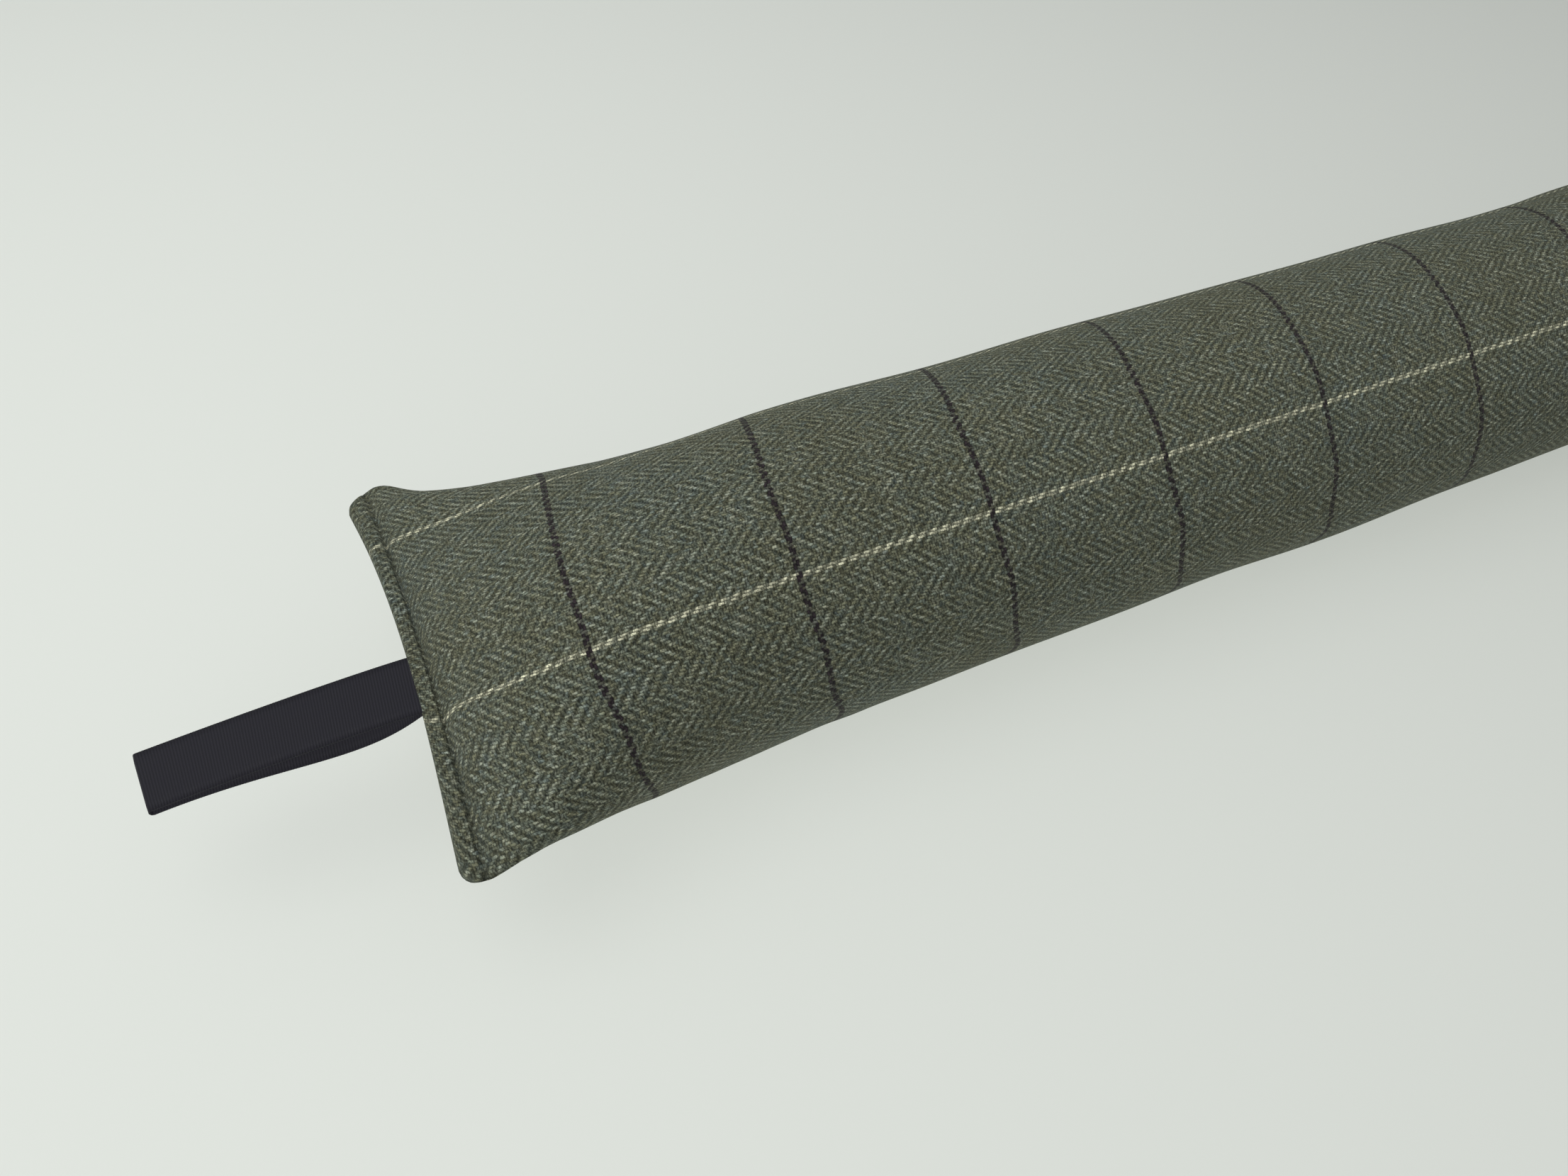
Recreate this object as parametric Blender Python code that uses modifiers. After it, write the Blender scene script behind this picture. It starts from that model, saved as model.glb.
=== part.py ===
"""A tweed draught excluder: a long filled tube, sewn flat at both ends, with a ribbon hanging loop.

Metres, +Z up. +X runs along the tube from the ribbon's end to the far end and +Y to the far side.
The origin is on the surface that the tube rests on, under the middle of its length and its axis.
"""

import math
from collections import namedtuple

import bmesh
import bpy
import numpy as np
from mathutils import Matrix

# Driving dimensions
TUBE_RADIUS = 0.054
CASING_LENGTH = 0.900
AXIS_HEIGHT = 0.0465
RIBBON_WIDTH = 0.022
RIBBON_THICKNESS = 0.001
LOOP_LENGTH = 0.080
PIECE_GAP = 0.0003

# The filled tube
CLOTH_ROUND = 2 * math.pi * TUBE_RADIUS * 0.981
FULL_HEIGHT = 0.982 * TUBE_RADIUS
TAPER_PER_METRE = 0.15
TAPER_START = 0.047
TAPER_REACH = 0.400
FLOOR_EASE = 0.0015

# The topstitched edge at each end
FLANGE = 0.0065
FLANGE_HALF = 0.0025
CREASE_HALF = 0.0014
EDGE_HALF = 0.0007
EDGE_ROUND = 0.0018
CREASE_START = 0.0036
CORNER_RADIUS = 0.0054
FLANGE_SQUARENESS = 4.0
SQUARENESS_REACH = 0.007

# How an end draws in: rise is how far the filling takes to reach its full height, height and offset
# are where the seam's middle lies from the tube's axis, and roll is the tube's turn from the seam
End = namedtuple("End", "rise power root height height_reach offset offset_reach roll roll_reach")
NEAR_END = End(0.150, 3.0, 0.90, 0.0085, 0.062, 0.0112, 0.024, 6.1, 0.055)
FAR_END = End(0.145, 2.9, 0.88, 0.0070, 0.055, -0.0060, 0.030, 6.1, 0.050)
SEAM_CLOTH_SHARE = 0.9235
SEAM_CLOTH_REACH = 0.130

# The line of a seam: how far its near and far corners lie below its middle, how far its middle is
# drawn in, and how much further out its far corner reaches than its near one
Seam = namedtuple("Seam", "near near_reach far far_reach pull skew")
NEAR_SEAM = Seam(0.0161, 0.021, 0.0117, 0.010, 0.0043, 0.0012)
FAR_SEAM = Seam(0.0110, 0.022, 0.0080, 0.016, 0.0040, -0.0015)
NEAR_POWER = 3
FAR_POWER = 4
PULL_REACH = 0.010

# Behind its far corner the topstitched edge is stiff and stands up from the tube
EAR_LIFT = 0.0055
EAR_POWER = 8
EAR_REACH = 0.0153

# Slow folds of the filled tube, which start past the sewn edges: the wave's length along the tube,
# its waves around, its phase and height
Fold = namedtuple("Fold", "wave turns phase height")
FOLDS = (
    Fold(0.310, 1, 3.0, 0.0003),
    Fold(0.190, 2, 2.1, 0.0002),
    Fold(0.118, 3, 4.4, 0.0003),
    Fold(0.083, 2, 1.3, 0.0002),
)
FOLDS_REACH = 0.030

# Puckers that run in from a topstitched edge: their pitch across the end, phase and height
Pucker = namedtuple("Pucker", "pitch phase height")
TOP_PUCKERS = (Pucker(0.047, 0.8, 0.0009), Pucker(0.031, 2.9, 0.0006))
UNDER_PUCKERS = (Pucker(0.052, 2.2, 0.0009), Pucker(0.034, 0.3, 0.0006))
PUCKER_PEAK = 0.009

# Stations from each sewn edge inwards, then evenly along the middle
END_STATIONS = (
    0.0, 0.0005, 0.0012, 0.0022, 0.0036, 0.0050, 0.0058, 0.0065, 0.0072, 0.0083, 0.0100, 0.0125,
    0.016, 0.021, 0.027, 0.034, 0.042, 0.051, 0.062, 0.075, 0.090, 0.108,
)
MIDDLE_STATIONS = 24
POINTS_ROUND = 44
FINE_STEPS = 360

# The ribbon loop: its place as a share of the seam's half width, its turn about Z in degrees, its
# sag at the fold, how much further the fold's far corner reaches out than its near one, how far its
# ends reach into the seam, and how far apart the middles of its two layers are
RIBBON_SIDE = -0.203
RIBBON_TURN = -2.6
RIBBON_SAG = 0.0080
SAG_POWER = 1.35
FOLD_SKEW = 0.0036
ROOT_DEPTH = 0.0044
ROOT_SPREAD = 0.0013
FOLD_SPREAD = 0.0020
LOOP_SPREAD = 0.0066
WIDEST_AT = 0.27
LAYER_POINTS = 26
FOLD_POINTS = 7

TWEED = ((0.085, 0.098, 0.072), 0.95)
GROSGRAIN = ((0.021, 0.020, 0.030), 0.55)


def clear_scene():
    for old in list(bpy.data.objects):
        bpy.data.objects.remove(old, do_unlink=True)


def collection(name):
    made = bpy.data.collections.new(name)
    bpy.context.scene.collection.children.link(made)
    return made


def material(name, colour, roughness):
    made = bpy.data.materials.new(name)
    made.use_nodes = True
    shader = made.node_tree.nodes["Principled BSDF"]
    shader.inputs["Base Color"].default_value = (*colour, 1.0)
    shader.inputs["Roughness"].default_value = roughness
    shader.inputs["Metallic"].default_value = 0.0
    return made


def fade(distance, reach):
    """1 at a sewn edge, easing to 0 past the reach."""
    return math.exp(-((distance / reach) ** 2))


def flange_half(inwards):
    """Half the thickness of the topstitched edge: rounded outside, creased along the stitching."""
    rounded = min(inwards / EDGE_ROUND, 1.0)
    half = EDGE_HALF + (FLANGE_HALF - EDGE_HALF) * math.sqrt(1 - (1 - rounded) ** 2)
    if inwards > CREASE_START:
        share = min((inwards - CREASE_START) / (FLANGE - CREASE_START), 1.0)
        half = FLANGE_HALF + (CREASE_HALF - FLANGE_HALF) * 0.5 * (1 - math.cos(math.pi * share))
    return half


def half_height(inwards, size, end):
    """Half the height of the section at this distance in from the sewn edge."""
    share = min(max((inwards - FLANGE) / end.rise, 0.0), 1.0)
    filled = size * FULL_HEIGHT * (1 - (1 - share) ** end.power) ** end.root
    return max(filled, flange_half(inwards))


def half_width(half, around):
    """Half the width of a flattened round of this half height, whose outline is this long."""
    low, high = 0.0, 0.5 * around
    for _ in range(40):
        wide = 0.5 * (low + high)
        lean = ((wide - half) / (wide + half)) ** 2
        outline = math.pi * (wide + half) * (1 + 3 * lean / (10 + math.sqrt(4 - 3 * lean)))
        low, high = (wide, high) if outline < around else (low, wide)
    return wide


def even_outline(wide, half, squareness):
    """Points round a section at equal steps of cloth, from its top towards -Y and on round."""
    turn = np.linspace(0, 2 * math.pi, FINE_STEPS + 1)
    power = 2 / squareness
    across = -wide * np.sign(np.sin(turn)) * np.abs(np.sin(turn)) ** power
    up = half * np.sign(np.cos(turn)) * np.abs(np.cos(turn)) ** power
    run = np.concatenate([[0.0], np.cumsum(np.hypot(np.diff(across), np.diff(up)))])
    steps = np.linspace(0, run[-1], POINTS_ROUND + 1)[:-1]
    return np.interp(steps, run, across), np.interp(steps, run, up)


def tube_size(from_near):
    """The tube's share of its full size: it slims a little away from the near end."""
    reached = min(max(from_near - TAPER_START, 0.0), TAPER_REACH)
    return 1 - TAPER_PER_METRE * reached


def puckers(across, up, inwards):
    """How far the cloth lifts where the topstitching gathers it."""
    if inwards <= FLANGE:
        return np.zeros_like(across)
    run = (inwards - FLANGE) / PUCKER_PEAK
    strength = run * math.exp(1 - run)
    lift = np.zeros_like(across)
    for rows, side in ((TOP_PUCKERS, 1), (UNDER_PUCKERS, -1)):
        wave = sum(p.height * np.sin(2 * math.pi * across / p.pitch + p.phase) for p in rows)
        lift = lift + np.where(side * up > 0, side * wave, 0)
    return strength * lift * np.clip(np.abs(up) / FLANGE, 0, 1)


def folded(across, up, from_near, inwards):
    """The slow folds, as a swelling or sinking of the section's outline."""
    turn = np.arctan2(up, across)
    swell = sum(
        f.height * np.sin(2 * math.pi * from_near / f.wave + f.turns * turn + f.phase) for f in FOLDS
    )
    loose = 1 - fade(inwards, FOLDS_REACH)
    share = 1 + loose * swell / np.maximum(np.hypot(across, up), TUBE_RADIUS / 2)
    return across * share, up * share


def rested(height):
    """Cloth that would lie below the surface lies on it, with a short ease where it lifts off."""
    eased = (height + FLOOR_EASE) ** 2 / (4 * FLOOR_EASE)
    on_or_off = np.where(height > FLOOR_EASE, height, eased)
    return np.where(height < -FLOOR_EASE, 0.0, on_or_off)


def section(from_near):
    """The casing's outline at one distance from the near edge, as points (x, y, z)."""
    from_far = CASING_LENGTH - from_near
    near = from_near <= from_far
    inwards, end, seam = (from_near, NEAR_END, NEAR_SEAM) if near else (from_far, FAR_END, FAR_SEAM)
    size = tube_size(from_near)
    half = half_height(inwards, size, end)
    share = SEAM_CLOTH_SHARE + (1 - SEAM_CLOTH_SHARE) * min(inwards / SEAM_CLOTH_REACH, 1)
    wide = half_width(max(half, FLANGE_HALF), CLOTH_ROUND * size * share)
    corner = min(inwards / CORNER_RADIUS, 1.0)
    wide = wide - CORNER_RADIUS * (1 - math.sqrt(1 - (1 - corner) ** 2))
    squareness = 2 + FLANGE_SQUARENESS * fade(inwards, SQUARENESS_REACH)
    across, up = even_outline(wide, half, squareness)
    side = across / wide
    up = up + puckers(across, up, inwards)
    across, up = folded(across, up, from_near, inwards)
    near_side, far_side = np.clip(-side, 0, 1), np.clip(side, 0, 1)
    up = up - seam.near * near_side**NEAR_POWER * fade(inwards, seam.near_reach)
    up = up - seam.far * far_side**FAR_POWER * fade(inwards, seam.far_reach)
    up = up + EAR_LIFT * far_side**EAR_POWER * fade(inwards, EAR_REACH)
    roll = math.radians(end.roll) * (1 - fade(inwards, end.roll_reach))
    y = across * math.cos(roll) - up * math.sin(roll) + end.offset * fade(inwards, end.offset_reach)
    z = across * math.sin(roll) + up * math.cos(roll) + end.height * fade(inwards, end.height_reach)
    drawn = (seam.pull * (1 - side**2) - seam.skew / 2 * side) * fade(inwards, PULL_REACH)
    along = from_near + (drawn if near else -drawn)
    return np.stack([along - CASING_LENGTH / 2, y, rested(z + AXIS_HEIGHT)], axis=1)


def stations():
    middle = np.linspace(END_STATIONS[-1], CASING_LENGTH - END_STATIONS[-1], MIDDLE_STATIONS + 1)
    return [*END_STATIONS, *middle[1:-1], *(CASING_LENGTH - s for s in reversed(END_STATIONS))]


def close_end(mesh, ring, outwards):
    """Closes a sewn edge by joining each point of its upper side to the one below it."""
    count = len(ring)
    for step in range(-count // 4, count // 4):
        upper = [ring[step % count], ring[(step + 1) % count]]
        lower = [ring[(count // 2 - step - 1) % count], ring[(count // 2 - step) % count]]
        corners = list(dict.fromkeys(upper + lower))
        mesh.faces.new(corners if outwards else reversed(corners))


def lofted(name, rings):
    """One closed mesh through a row of outlines that have the same number of points."""
    mesh = bmesh.new()
    rows = [[mesh.verts.new(point) for point in ring] for ring in rings]
    for first, second in zip(rows, rows[1:]):
        for here in range(len(first)):
            after = (here + 1) % len(first)
            mesh.faces.new((first[here], first[after], second[after], second[here]))
    close_end(mesh, rows[0], False)
    close_end(mesh, rows[-1], True)
    bmesh.ops.recalc_face_normals(mesh, faces=mesh.faces)
    data = bpy.data.meshes.new(name)
    mesh.to_mesh(data)
    mesh.free()
    data.shade_smooth()
    return bpy.data.objects.new(name, data)


def place_at_ribbon_root(piece):
    """Puts a piece where the middle of the ribbon comes out of the near sewn edge, turned with it."""
    half_edge = SEAM_CLOTH_SHARE * CLOTH_ROUND / 4
    drop = NEAR_SEAM.near * abs(RIBBON_SIDE) ** NEAR_POWER
    piece.location = (
        NEAR_SEAM.pull * (1 - RIBBON_SIDE**2) - NEAR_SEAM.skew / 2 * RIBBON_SIDE - CASING_LENGTH / 2,
        NEAR_END.offset + RIBBON_SIDE * half_edge,
        AXIS_HEIGHT + NEAR_END.height - drop,
    )
    piece.rotation_euler = (0.0, 0.0, math.radians(RIBBON_TURN))


def loop_spread(share):
    """How far apart the ribbon's two layers are, from the seam to the fold."""
    bulge = math.sin(math.pi * share ** (math.log(0.5) / math.log(WIDEST_AT))) ** 2
    straight = ROOT_SPREAD + (FOLD_SPREAD - ROOT_SPREAD) * share
    return straight + (LOOP_SPREAD - straight) * bulge


def loop_line():
    """The ribbon's centre line (outwards, up): the upper layer out, the fold, the lower layer back."""
    reach = LOOP_LENGTH - FOLD_SPREAD / 2
    root = [-ROOT_DEPTH, -ROOT_DEPTH / 2]
    out = [reach * (1 - math.cos(math.pi * i / LAYER_POINTS)) / 2 for i in range(LAYER_POINTS + 1)]
    top = ROOT_SPREAD / 2
    upper = [(x, top) for x in root]
    lower = [(x, top - ROOT_SPREAD) for x in root]
    for x in out:
        rise = top - RIBBON_SAG * (x / reach) ** SAG_POWER
        upper.append((x, rise))
        lower.append((x, rise - loop_spread(x / reach)))
    middle = upper[-1][1] - FOLD_SPREAD / 2
    turns = [math.pi * (0.5 - i / (FOLD_POINTS + 1)) for i in range(1, FOLD_POINTS + 1)]
    fold = [
        (reach + FOLD_SPREAD / 2 * math.cos(t), middle + FOLD_SPREAD / 2 * math.sin(t)) for t in turns
    ]
    return upper + fold + lower[::-1]


def ribbon_loop(finish):
    """The loop as an open strip across the ribbon's width, thickened to both sides."""
    mesh = bmesh.new()
    edges = []
    for x, z in loop_line():
        skew = FOLD_SKEW / 2 * max(x / LOOP_LENGTH, 0.0) ** 2
        near = mesh.verts.new((skew - x, -RIBBON_WIDTH / 2, z))
        far = mesh.verts.new((-skew - x, RIBBON_WIDTH / 2, z))
        edges.append((near, far))
    for first, second in zip(edges, edges[1:]):
        mesh.faces.new((first[0], second[0], second[1], first[1]))
    data = bpy.data.meshes.new("ribbon_loop")
    mesh.to_mesh(data)
    mesh.free()
    data.materials.append(finish)
    made = bpy.data.objects.new("ribbon_loop", data)
    place_at_ribbon_root(made)
    thick = made.modifiers.new("thickness", "SOLIDIFY")
    thick.thickness = RIBBON_THICKNESS
    thick.offset = 0.0
    return made


def ribbon_slot():
    """The cutter for the gap between the casing's two layers, where the ribbon's ends are sewn in."""
    mesh = bmesh.new()
    depth = ROOT_DEPTH + PIECE_GAP
    height = ROOT_SPREAD + RIBBON_THICKNESS + 2 * PIECE_GAP
    size = (2 * depth, RIBBON_WIDTH + 2 * PIECE_GAP, height)
    bmesh.ops.create_cube(mesh, size=1.0, matrix=Matrix.Diagonal((*size, 1.0)))
    data = bpy.data.meshes.new("ribbon_slot")
    mesh.to_mesh(data)
    mesh.free()
    made = bpy.data.objects.new("ribbon_slot", data)
    place_at_ribbon_root(made)
    made.hide_render = True
    made.display_type = "WIRE"
    return made


def build():
    clear_scene()
    product = collection("draught_excluder")
    cutters = collection("cutters")
    casing = lofted("casing", [section(at) for at in stations()])
    casing.data.materials.append(material("tweed", *TWEED))
    product.objects.link(casing)
    slot = ribbon_slot()
    cutters.objects.link(slot)
    opened = casing.modifiers.new("ribbon_slot", "BOOLEAN")
    opened.operation = "DIFFERENCE"
    opened.solver = "EXACT"
    opened.object = slot
    product.objects.link(ribbon_loop(material("grosgrain", *GROSGRAIN)))


build()
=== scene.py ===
"""Looks of a tweed draught excluder: woven casing, topstitched ends and a grosgrain ribbon loop.

Metres, in the part's own frame: +X along the tube from the ribbon's end, +Y to the far side, +Z up.
"""

import math
from collections import namedtuple

import bmesh
import bpy
import numpy as np
from mathutils import Matrix, Vector

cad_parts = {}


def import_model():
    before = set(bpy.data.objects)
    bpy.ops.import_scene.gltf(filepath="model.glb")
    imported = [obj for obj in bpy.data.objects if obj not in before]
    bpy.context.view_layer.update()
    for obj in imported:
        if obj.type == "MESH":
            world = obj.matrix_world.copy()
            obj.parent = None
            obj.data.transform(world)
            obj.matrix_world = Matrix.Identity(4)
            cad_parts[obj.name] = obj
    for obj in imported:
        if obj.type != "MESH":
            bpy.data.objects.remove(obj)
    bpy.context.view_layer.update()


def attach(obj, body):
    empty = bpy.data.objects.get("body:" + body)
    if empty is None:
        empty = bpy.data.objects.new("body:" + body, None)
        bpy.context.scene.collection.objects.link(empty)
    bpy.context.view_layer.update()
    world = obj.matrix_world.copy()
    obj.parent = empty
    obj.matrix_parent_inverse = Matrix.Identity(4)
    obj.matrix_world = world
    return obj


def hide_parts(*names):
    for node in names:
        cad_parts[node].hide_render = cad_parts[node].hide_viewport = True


# The tube, as in the part's source
TUBE_RADIUS = 0.054
CASING_LENGTH = 0.900
AXIS_HEIGHT = 0.0465
CLOTH_ROUND = 2 * math.pi * TUBE_RADIUS * 0.981
FULL_HEIGHT = 0.982 * TUBE_RADIUS
TAPER_PER_METRE = 0.15
TAPER_START = 0.047
TAPER_REACH = 0.400
FLOOR_EASE = 0.0015

# The topstitched edge at each end, creased more sharply than the plain solid
FLANGE = 0.0065
FLANGE_HALF = 0.0025
CREASE_HALF = 0.0010
EDGE_HALF = 0.0007
EDGE_ROUND = 0.0018
CREASE_START = 0.0048
CORNER_RADIUS = 0.0054
FLANGE_SQUARENESS = 4.0
SQUARENESS_REACH = 0.007

# How an end draws in from its seam to the full tube, and the line of its seam
End = namedtuple("End", "rise power root height height_reach offset offset_reach roll roll_reach")
NEAR_END = End(0.150, 3.0, 0.90, 0.0085, 0.062, 0.0112, 0.024, 6.1, 0.055)
FAR_END = End(0.145, 2.9, 0.88, 0.0070, 0.055, -0.0060, 0.030, 6.1, 0.050)
SEAM_CLOTH_SHARE = 0.9235
SEAM_CLOTH_REACH = 0.130
Seam = namedtuple("Seam", "near near_reach far far_reach pull skew")
NEAR_SEAM = Seam(0.0161, 0.021, 0.0117, 0.010, 0.0043, 0.0012)
FAR_SEAM = Seam(0.0110, 0.022, 0.0080, 0.016, 0.0040, -0.0015)
NEAR_POWER = 3
FAR_POWER = 4
PULL_REACH = 0.010
EAR_LIFT = 0.0055
EAR_POWER = 8
EAR_REACH = 0.0153

# Slow folds of the filled tube, and puckers that run in from a topstitched edge
Fold = namedtuple("Fold", "wave turns phase height")
FOLDS = (
    Fold(0.310, 1, 3.0, 0.0003),
    Fold(0.190, 2, 2.1, 0.0002),
    Fold(0.118, 3, 4.4, 0.0003),
    Fold(0.083, 2, 1.3, 0.0002),
)
FOLDS_REACH = 0.030
Pucker = namedtuple("Pucker", "pitch phase height")
TOP_PUCKERS = (Pucker(0.047, 0.8, 0.0009), Pucker(0.031, 2.9, 0.0006))
UNDER_PUCKERS = (Pucker(0.052, 2.2, 0.0009), Pucker(0.034, 0.3, 0.0006))
PUCKER_PEAK = 0.009

# The casing's mesh: steps along it from each sewn edge, with a longer one along its middle
Steps = namedtuple("Steps", "reach step")
END_STEPS = (
    Steps(0.0012, 0.0004),
    Steps(0.0042, 0.0010),
    Steps(0.0080, 0.0005),
    Steps(0.0120, 0.0010),
    Steps(0.0300, 0.0018),
    Steps(0.1080, 0.0025),
)
MIDDLE_STEP = 0.0042
POINTS_ROUND = 208
FINE_STEPS = 1440
HALVINGS = 40

# The cloth simulation: its mesh, how hard the filling presses, how much loose cloth there is, what
# is held, and the furthest that it may move a point
TRIAL_STEP = 0.0035
TRIAL_EVERY = 2
CLOTH_QUALITY = 6
CLOTH_POINT_MASS = 0.1
CLOTH_FRAMES = 20
FILLING_PRESSURE = 4.0
CLOTH_EASE = 0.008
HELD_EDGE = 0.008
RESTING_BELOW = 0.0004
MOST_MOVE = 0.0010
SMOOTHINGS = 2

# Topstitching: its pitch and thread, how far it stays off the corners, and the dimples it pulls
STITCH_PITCH = 0.0029
STITCH_LENGTH = 0.0023
STITCH_RADIUS = 0.00026
STITCH_SIDES = 6
STITCH_SHARES = (0.0, 0.15, 0.5, 0.85, 1.0)
STITCH_ARCH = 1.1
STITCH_SINK = 0.6
STITCH_TIP = 0.45
CORNER_CLEAR = 0.004
DIMPLE_DEPTH = 0.00025
DIMPLE_REACH = 0.0011
DIMPLED_SHARE = 0.96

# The cloth: a 2/2 herringbone of these threads, with pairs of cream ends and of dark picks
END_PITCH = 0.00093
PICK_PITCH = 0.000935
TWILL_REPEAT = 4.0
HERRINGBONE_ENDS = 9
HERRINGBONE_SHIFT = 5
CREAM_END = 35
CREAM_REPEAT = 90
DARK_PICK = 65
DARK_REPEAT = 68
FIRST_DARK_AFTER = 10

# Where along the cloth its length is evened out, as shares of the whole, so that the far edge is
# straight in it too
EVEN_FROM = 0.45
EVEN_OVER = 0.40

# The cloth was pulled a little askew, so its picks bow: how far, from which end of the cloth's
# round, how wide the straight part is, and how the bow grows from the near seam
BOW_DEPTH = 0.013
BOW_AROUND = 0.040
BOW_WIDTH = 0.0566
BOW_AT_SEAM = 0.35
BOW_GROWTH = 0.80
BOW_REACH = 0.130

# Behind the top its ends slipped round towards the near side: how far, about which part of the
# cloth's round, how wide that part is, and how the slip grows from the near seam
SLIP_DEPTH = 0.0168
SLIP_AROUND = -0.050
SLIP_WIDTH = 0.042
SLIP_REACH = 0.050

# The ribbon loop, as in the part's source but as thin as real ribbon, with its ribs
RIBBON_WIDTH = 0.022
RIBBON_HALF = 0.00030
LOOP_LENGTH = 0.080
RIBBON_SIDE = -0.203
RIBBON_TURN = -2.6
RIBBON_SAG = 0.0080
SAG_POWER = 1.35
FOLD_SKEW = 0.0036
ROOT_DEPTH = 0.0044
ROOT_SPREAD = 0.0013
FOLD_SPREAD = 0.0020
LOOP_SPREAD = 0.0066
WIDEST_AT = 0.27
RIB_PITCH = 0.00085
RIB_HEIGHT = 0.00007
RIB_POINTS = 5
RIBBON_ACROSS = 8
SELVEDGE_SHARE = 0.6
LOOP_STEPS = 200
FOLD_STEPS = 24

# How a look follows from a value: a ramp eases it from one range into another, a line is a base with
# a slope. A finish holds the shader's values that are the same all over a surface.
Ramp = namedtuple("Ramp", "low high new_low new_high")
Line = namedtuple("Line", "base slope")
Noise = namedtuple("Noise", "scale detail roughness")
Fuzz = namedtuple("Fuzz", "along across start noise ramp")
Tone = namedtuple("Tone", "jump start")
Weave = namedtuple("Weave", "along across pick end in_end step warp_up height cream dark strand")

# The tweed's yarns. Heather mixes olive into sage into blue grey along the threads and in patches,
# and some floats are paler than the rest, most on their crests as a painted highlight. The cream
# ends are painted darker at their sides as shade. A tone starts at its own place in the noise and
# jumps from thread to thread.
OLIVE = (0.168, 0.170, 0.111, 1.0)
SAGE = (0.160, 0.182, 0.143, 1.0)
BLUE_GREY = (0.136, 0.172, 0.172, 1.0)
PALE_AND_HIGHLIGHT = (0.290, 0.305, 0.262, 1.0)
CREAM = (0.58, 0.57, 0.42, 1.0)
DARK = (0.030, 0.022, 0.027, 1.0)
TONE_SHARE, PATCH_SHARE, REGION_SHARE = 0.90, 0.55, 0.35
SAGE_RAMP = Ramp(0.76, 1.04, 0.0, 1.0)
BLUE_GREY_RAMP = Ramp(0.96, 1.24, 0.0, 0.9)
# Which floats are paler, at random; it shows most on their crests as a painted highlight
PALE_AND_HIGHLIGHT_RAMP = Ramp(0.55, 1.0, 0.0, 0.40)
# Painted shade across a cream end: full cream on its crest, less at its sides
CREAM_SHADE_RAMP = Ramp(0.30, 0.85, 0.20, 1.0)
CREAM_UNDER_WEFT = 0.35
DARK_UNDER_WARP = 0.60
TONE_NOISE = Noise(1.0, 3.0, 0.65)
TONE_RUN = 0.22
WARP_TONE = Tone(7.31, 1.7)
WEFT_TONE = Tone(5.17, 8.3)
WARP_SEED = 3.0
WEFT_SEED = 7.0
PATCH_NOISE = Noise(260.0, 3.0, 0.6)
REGION_NOISE = Noise(16.0, 2.0, 0.5)

# The tweed's threads: how they wander, how high a float stands, how its diagonal strands show
WANDER_NOISE = Noise(230.0, 3.0, 0.55)
WANDER = 0.9
FLOAT_POWER = 0.6
WARP_HEIGHT = Line(0.35, 0.65)
WEFT_HEIGHT = Line(0.25, 0.65)
# How much of the painted crest highlight the weft floats take
WEFT_CREST = 0.85
STRAND_NOISE = Noise(700.0, 2.0, 0.6)
STRAND_LOOSENESS = 1.9
STRAND_POWER = 0.38
CHECK_STRAND = 0.8

# The tweed's fuzz; painted light and shade on crests, strands, crease and seam; its finish and its
# bump
FIBRE = Fuzz(2.4, 1.5, 0.0, Noise(1.0, 4.0, 0.75), Ramp(0.34, 0.62, 0.56, 1.32))
GRAIN = Fuzz(1.25, 0.75, 4.0, Noise(1.0, 2.0, 0.7), Ramp(0.36, 0.62, 0.48, 1.36))
CREST_RAMP = Ramp(0.15, 0.90, 0.0, 1.0)
# Painted highlight on the floats' crests and painted shade between the diagonal strands
CREST_PAINTED_LIGHT = Line(0.44, 0.64)
STRAND_PAINTED_SHADE = Line(0.30, 0.76)
CHANCE_LIGHT = Line(0.74, 0.44)
# Painted shade in the topstitched crease and along the lengthwise seam; the turned edge a little
# darker
CREASE_SHADE_RAMP = Ramp(0.0002, 0.0018, 0.66, 1.0)
FLANGE_RAMP = Ramp(FLANGE - 0.001, FLANGE + 0.001, 0.94, 1.0)
SEAM_SHADE_RAMP = Ramp(0.0002, 0.0015, 0.40, 1.0)
TWEED_ROUGHNESS_RAMP = Ramp(0.2, 0.8, 0.82, 0.98)
TWEED_FINISH = {
    "Specular IOR Level": 0.18,
    "Sheen Weight": 0.09,
    "Sheen Roughness": 0.45,
    "Sheen Tint": (0.72, 0.78, 0.66, 1.0),
}
HEIGHT_RELIEF, STRAND_RELIEF, FIBRE_RELIEF = 0.70, 0.35, 0.50
TWEED_RELIEF = 0.00042
TWEED_BUMP = 0.85

# The ribbon's looks, with painted shade in the valleys between its ribs
RIBBON_VALLEY_SHADE = (0.007, 0.007, 0.010, 1.0)
RIBBON_CREST = (0.018, 0.017, 0.024, 1.0)
RIBBON_WORN = (0.024, 0.023, 0.032, 1.0)
WORN_SHARE = 0.5
RIBBON_NOISE = Noise(260.0, 3.0, 0.6)
RIBBON_THREAD_PITCH = 0.00028
RIBBON_THREAD_SHARE = 0.35
RIBBON_ROUGHNESS_RAMP = Ramp(0.2, 0.8, 0.58, 0.72)
RIBBON_FINISH = {"Specular IOR Level": 0.16, "Sheen Weight": 0.02}
RIBBON_RELIEF = 0.00006
RIBBON_BUMP = 0.8

# The sewing thread's looks
THREAD_DARK = (0.036, 0.042, 0.032, 1.0)
THREAD_LIGHT = (0.075, 0.086, 0.064, 1.0)
THREAD_NOISE = Noise(900.0, 2.0, 0.5)
THREAD_TWIST = 9000.0
THREAD_FINISH = {"Roughness": 0.6}
THREAD_RELIEF = 0.00004
THREAD_BUMP = 0.6

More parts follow.
